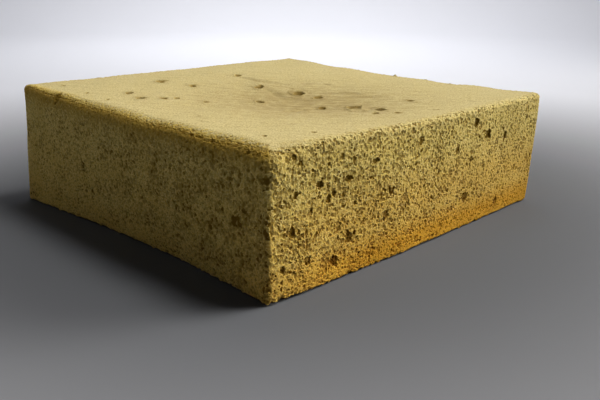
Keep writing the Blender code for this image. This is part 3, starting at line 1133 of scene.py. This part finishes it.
# %% The material
def sponge_material():
    material = bpy.data.materials.new("dry open sponge crumb with peeled top")
    material.use_nodes = True
    tree = material.node_tree
    shader = tree.nodes["Principled BSDF"]
    sums = Sums(tree)
    place = add(tree, "ShaderNodeTexCoord").outputs["Object"]

    def ramp(value, low, high, start=0.0, end=1.0):
        inputs = {"Value": value, 1: low, 2: high, 3: start, 4: end}
        return add(tree, "ShaderNodeMapRange", inputs).outputs[0]

    def mix(share, one, other):
        inputs = {"Factor": share, 6: one, 7: other}
        return add(tree, "ShaderNodeMix", inputs, data_type="RGBA").outputs[2]

    def noise(size, detail=2.0):
        inputs = {"Vector": place, "Scale": 1 / size, "Detail": detail}
        return add(tree, "ShaderNodeTexNoise", inputs).outputs["Fac"]

    def stored(name):
        return add(tree, "ShaderNodeAttribute", attribute_name=name).outputs["Fac"]

    pore, skin = stored("pore"), stored("skin")
    deep = ramp(pore, *PORE_SHOWS)
    cells = add(tree, "ShaderNodeTexVoronoi", {"Vector": place, "Scale": 1 / FINE_PORE})
    fine = ramp(cells.outputs["Distance"], *FINE_EDGE)
    grain = noise(GRAIN_SIZE, GRAIN_DETAIL)
    patches = noise(PATCH, 1.0)
    blotches = noise(BLOTCH, 2.0)

    # The gold of the foot, by height and by the way that the wall faces: partly the foot's own
    # colour, mostly painted bounce light, weaker on the left and back walls, which face away from
    # the lamps.
    split = add(tree, "ShaderNodeSeparateXYZ", {0: place}).outputs
    height = split["Z"]
    faint = ramp(height, GOLD_FROM, GOLD_MIDDLE, 0.0, GOLD_HIGH)
    gold_and_bounce = sums.maths("MAXIMUM", faint, ramp(height, GOLD_MIDDLE, GOLD_FULL, 0.0, GOLD_SHARE))
    facing = sums.maths("SUBTRACT", split["X"], split["Y"])
    gold_and_bounce = sums.times(gold_and_bounce, ramp(facing, -GOLD_TURNS, GOLD_TURNS, GOLD_BOUNCE_LEFT, 1.0))

    # The cut crumb, with painted shade down in its pores.
    crumb = mix(ramp(grain, *CRUMB_GRAIN), CRUMB_TAN, CRUMB_PALE)
    crumb = mix(sums.times(ramp(patches, *PATCH_EDGE), PATCH_SHARE), crumb, CRUMB_TAN)
    # Painted light: the foot is painted paler towards its near end, where the lamp's light falls off.
    near = ramp(split["X"], -WIDTH / 2, PAINTED_LIGHT_REACH - WIDTH / 2, PAINTED_LIGHT_SHARE, 0.0)
    crumb = mix(gold_and_bounce, crumb, mix(near, FOOT_GOLD_AND_BOUNCE, FOOT_PAINTED_LIGHT))
    crumb = mix(stored("pale_rim"), crumb, RIM_PALE)
    # The ochre band: partly crust, partly painted light glowing through the thin rim over the shaded
    # left wall.
    crumb = mix(stored("ochre_rim_and_glow"), crumb, RIM_OCHRE_AND_GLOW)
    # Painted shade: the crumb is darker the deeper its bubble, and in the middle of each fine cell,
    # where a pore finer than the mesh would hold shade.
    shade = mix(gold_and_bounce, PORE_SHADE_BROWN, FOOT_PORE_SHADE)
    crumb = mix(sums.maths("MAXIMUM", deep, sums.times(fine, FINE_SHARE)), crumb, shade)
    # The ochre band again over the pores: partly crust, partly painted light through the rim.
    crumb = mix(sums.times(stored("ochre_rim_and_glow"), OCHRE_SHARE), crumb, RIM_OCHRE_AND_GLOW)

    # The peeled top, and the stains round its craters and creases.
    top = mix(ramp(grain, *SKIN_GRAIN), SKIN_TAN, SKIN_PALE)
    brown = sums.times(stored("sunk"), ramp(blotches, *SUNK_BLOTCHES))
    top = mix(sums.times(brown, SUNK_SHARE), top, SKIN_BROWN)
    top = mix(ramp(pore, *CRUST_SHOWS), top, CRUST_BROWN)
    both = mix(skin, crumb, top)
    stain = sums.times(stored("stain"), ramp(blotches, *STAIN_BLOTCHES))

    # Relief that is finer than the mesh.
    dents = sums.times(fine, ramp(skin, 0.0, 1.0, *DENTS))
    lumps = sums.times(grain, ramp(skin, 0.0, 1.0, *LUMPS))
    relief = sums.maths("ADD", dents, lumps)
    bump = add(tree, "ShaderNodeBump", {"Height": relief, "Distance": 1.0})
    finish = {
        "Base Color": mix(stain, both, CRUST_BROWN),
        "Roughness": ramp(grain, *ROUGH),
        "Specular IOR Level": SHEEN,
        "Subsurface Weight": GLOW,
        "Subsurface Scale": GLOW_REACH,
        "Subsurface Radius": GLOW_SPREAD,
        "Normal": bump.outputs["Normal"],
    }
    fill(tree, shader, finish)
    return material


sponge = sponge_material()
print(len(sponge.node_tree.nodes), "nodes colour the sponge")

# %% [markdown]
# ## Making the six parts
#
# Each part is made the same way. The patch of the plain box is settled into the cake's form,
# worn along its edges, and the larger holes, craters and creases are cut. The numbers that the
# nodes read are stored on its points, and the Geometry Nodes then cut the fine bubbles.


# %% One part of the cake
BAKE_STRIP = 0.95
SKIN_LEFT_IN_CRATERS = 0.25


def bake_places(along, faces, shown, edge_points):
    """A flat map of the patch, with the faces inside the cake kept apart in a narrow strip."""
    places = []
    for number, face in enumerate(faces):
        for k in face:
            if number < shown:
                places.append((along[k][0], along[k][1] * BAKE_STRIP))
            elif k < edge_points:
                places.append((along[k][0], (1 + BAKE_STRIP) / 2))
            else:
                places.append((0.5, 1.0))
    return places


def store(mesh, name, values):
    """Stores one number or one vector on every point, and zero on the inner corners."""
    values = np.asarray(values, np.float32)
    kind = "FLOAT" if values.ndim == 1 else "FLOAT_VECTOR"
    full = np.zeros((len(mesh.vertices), *values.shape[1:]), np.float32)
    full[: len(values)] = values
    field = "value" if values.ndim == 1 else "vector"
    mesh.attributes.new(name, kind, "POINT").data.foreach_set(field, full.ravel())


def carved(plain):
    """(place, way out, depth, skin, stain) of the points once all but the bubbles is cut."""
    points, ways = settled(plain) + SHIFT, way_out(plain)
    points -= ways * wear(plain)[:, None]
    # The depth kept here sets the painted shade of the holes, less on some walls.
    depth = np.zeros(len(points))
    for centre, size, deep, shade in HOLES:
        travel = cut_ball(points, ways, centre, size, deep)
        points -= ways * travel[:, None]
        depth += travel * shade
    upward = np.clip(ways[:, 2], 0, 1) * (plain[:, 2] > HEIGHT / 2)
    down, torn, stain = craters(plain)
    # The top is darker along its creases.
    pressed, crease_darkening = creases(plain)
    raised, dark = rim_crumbs(plain)
    points[:, 2] += (raised - down - pressed) * upward
    depth += np.clip(down, 0, None) * upward
    skin = skin_of(plain) * (1 - torn * upward * (1 - SKIN_LEFT_IN_CRATERS))
    stain = np.max([stain, crease_darkening, dark], axis=0) * upward
    return points, ways, depth, skin, stain


def cake_part(side):
    plain, along, faces, shown, behind = patch(side)
    points, ways, depth, skin, stain = carved(plain)
    inner = np.array([INNER[name] for name in behind])
    inner = inner * (np.array([WIDTH, DEPTH]) / 2 - INSET) + SHIFT[:2]
    inner = np.column_stack([inner, np.full(len(inner), HEIGHT / 2)])
    mesh = bpy.data.meshes.new(f"{side}_crumb")
    mesh.from_pydata(np.vstack([points, inner]).tolist(), [], faces)
    foam_place, foam_way = foam_space(points, ways)
    fields = {
        "way_out": ways,
        "foam_place": foam_place,
        "foam_way": foam_way,
        "pore": depth,
        "skin": skin,
        "openness": open_of(plain, skin),
        "sunk": sunk(plain),
        "stain": stain,
        "ochre_rim_and_glow": ochre_and_glow_of(plain),
        "pale_rim": pale_of(plain),
    }
    for name, values in fields.items():
        store(mesh, name, values)
    layer = mesh.uv_layers.new(name="OFBake")
    flat = bake_places(along.tolist(), faces, shown, len(points))
    layer.uv.foreach_set("vector", np.array(flat, np.float32).ravel())
    sharp = mesh.attributes.new("sharp_face", "BOOLEAN", "FACE")
    sharp.data.foreach_set("value", np.arange(len(faces)) >= shown)

    obj = bpy.data.objects.new(f"{side}_crumb", mesh)
    bpy.context.scene.collection.objects.link(obj)
    cut_all_bubbles(obj, sponge)
    made_real(obj)
    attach(obj, "root")
    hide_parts("sponge_cake")
    print(obj.name, len(obj.data.vertices), "points,", len(obj.data.polygons), "faces")
    return obj


parts = [cake_part(side) for side in SIDES]

# %% [markdown]
# ## Floor, light and camera
#
# The cake stands on seamless paper that curves up into a round wall, so that every side is seen
# against a plain ground. The paper is dark round the cake and pale further out, because a pale
# floor would throw light into the wall that should lie in shade. A broad lamp far out on the
# right grazes the front wall, which is what shows the crumb's relief. A second one high up lights
# the top, a third lights the paper behind, and a faint one behind the left end keeps the shaded
# wall from going flat.

# %% The floor
FLOOR_FLAT = 1.1
FLOOR_BEND = 0.5
FLOOR_TOP = 1.0
FLOOR_TURNS = 96
BEND_STEPS = 12
FLOOR_NEAR = linear("#54565A")
FLOOR_FAR = linear("#ECECF1")
PALER_FROM = 0.12
PALER_TO = 0.5
PAPER_ROUGH = 0.9


def floor_material():
    material = bpy.data.materials.new("matt seamless paper")
    material.use_nodes = True
    tree = material.node_tree
    shader = tree.nodes["Principled BSDF"]
    place = add(tree, "ShaderNodeTexCoord").outputs["Object"]
    away = Sums(tree).vectors("LENGTH", place, output="Value")
    inputs = {"Value": away, 1: PALER_FROM, 2: PALER_TO}
    share = add(tree, "ShaderNodeMapRange", inputs, interpolation_type="SMOOTHSTEP")
    inputs = {"Factor": share.outputs[0], 6: FLOOR_NEAR, 7: FLOOR_FAR}
    paper = add(tree, "ShaderNodeMix", inputs, data_type="RGBA").outputs[2]
    fill(tree, shader, {"Base Color": paper, "Roughness": PAPER_ROUGH})
    return material


def floor():
    turns = np.linspace(0, math.pi / 2, BEND_STEPS + 1)
    outline = [(FLOOR_FLAT + FLOOR_BEND * math.sin(t), FLOOR_BEND * (1 - math.cos(t))) for t in turns]
    outline.append((FLOOR_FLAT + FLOOR_BEND, FLOOR_TOP))
    round_turn = np.linspace(0, 2 * math.pi, FLOOR_TURNS, endpoint=False)
    points = [(r * math.cos(t), r * math.sin(t), z) for r, z in outline for t in round_turn]
    faces = [list(range(FLOOR_TURNS))]
    for ring in range(len(outline) - 1):
        start, above = ring * FLOOR_TURNS, (ring + 1) * FLOOR_TURNS
        for k in range(FLOOR_TURNS):
            after = (k + 1) % FLOOR_TURNS
            faces.append([start + after, start + k, above + k, above + after])
    mesh = bpy.data.meshes.new("floor")
    mesh.from_pydata(points, [], faces)
    mesh.shade_smooth()
    mesh.materials.append(floor_material())
    obj = bpy.data.objects.new("floor", mesh)
    bpy.context.scene.collection.objects.link(obj)
    return obj


floor()

# %% The lights
CAKE_MIDDLE = Vector((0.01, -0.03, HEIGHT / 2))
NEAR_CORNER = Vector((-0.07, -0.08, HEIGHT))
BACKDROP_MIDDLE = Vector((0.7, 0.7, 0))
LEFT_WALL_END = Vector((-0.1, 0.05, 0.03))


def lamp(name, place, aim, size, spread, power, colour):
    data = bpy.data.lights.new(name, "AREA")
    data.shape = "DISK"
    data.size = size
    data.spread = math.radians(spread)
    data.energy = power
    data.color = colour
    obj = bpy.data.objects.new(name, data)
    bpy.context.scene.collection.objects.link(obj)
    obj.location = place
    obj.rotation_euler = (aim - Vector(place)).to_track_quat("-Z", "Y").to_euler()
    return obj


# Name, place, aim, width in m, spread in degrees, watts, colour.
LAMPS = [
    ("key lamp", (1.07, -0.585, 0.585), CAKE_MIDDLE, 0.95, 44, 2.25, (1.0, 0.98, 0.94)),
    ("top lamp", (0.35, -0.3, 1.1), NEAR_CORNER, 0.5, 36, 0.62, (1.0, 0.98, 0.95)),
    ("backdrop lamp", (0.45, 0.45, 1.1), BACKDROP_MIDDLE, 0.8, 100, 5.8, (0.97, 0.98, 1.0)),
    ("side lamp", (-0.35, 0.62, 0.3), LEFT_WALL_END, 0.16, 70, 0.04, (1.0, 0.98, 0.94)),
]
for settings in LAMPS:
    lamp(*settings)

ROOM = {"Color": linear("#E4E6EC"), "Strength": 0.007}
world = bpy.data.worlds.new("pale room")
world.use_nodes = True
fill(world.node_tree, world.node_tree.nodes["Background"], ROOM)
bpy.context.scene.world = world
bpy.context.scene.view_settings.view_transform = "Standard"

# %% The camera
CAMERA_AZIMUTH = -44.82
CAMERA_ELEVATION = 17.46
CAMERA_ROLL = 0.51
CAMERA_DISTANCE = 403.2 * MM
CAMERA_LENS = 43.9
CAMERA_SENSOR = 36
AIM_HEIGHT = 32 * MM
AIM_ACROSS = 10.8 * MM
AIM_UP = -30.9 * MM


def camera():
    turn, rise, roll = map(math.radians, (CAMERA_AZIMUTH, CAMERA_ELEVATION, CAMERA_ROLL))
    back = Vector(
        (math.sin(turn) * math.cos(rise), -math.cos(turn) * math.cos(rise), math.sin(rise))
    )
    right = (-back).cross(Vector((0, 0, 1))).normalized()
    up = right.cross(-back)
    aim = Vector((0, 0, AIM_HEIGHT)) + right * AIM_ACROSS + up * AIM_UP
    across = right * math.cos(roll) + up * math.sin(roll)
    upright = up * math.cos(roll) - right * math.sin(roll)
    data = bpy.data.cameras.new("camera")
    data.lens = CAMERA_LENS
    data.sensor_width = CAMERA_SENSOR
    obj = bpy.data.objects.new("camera", data)
    bpy.context.scene.collection.objects.link(obj)
    turned = Matrix((across, upright, back)).transposed().to_4x4()
    obj.matrix_world = Matrix.Translation(aim + back * CAMERA_DISTANCE) @ turned
    bpy.context.scene.camera = obj


camera()
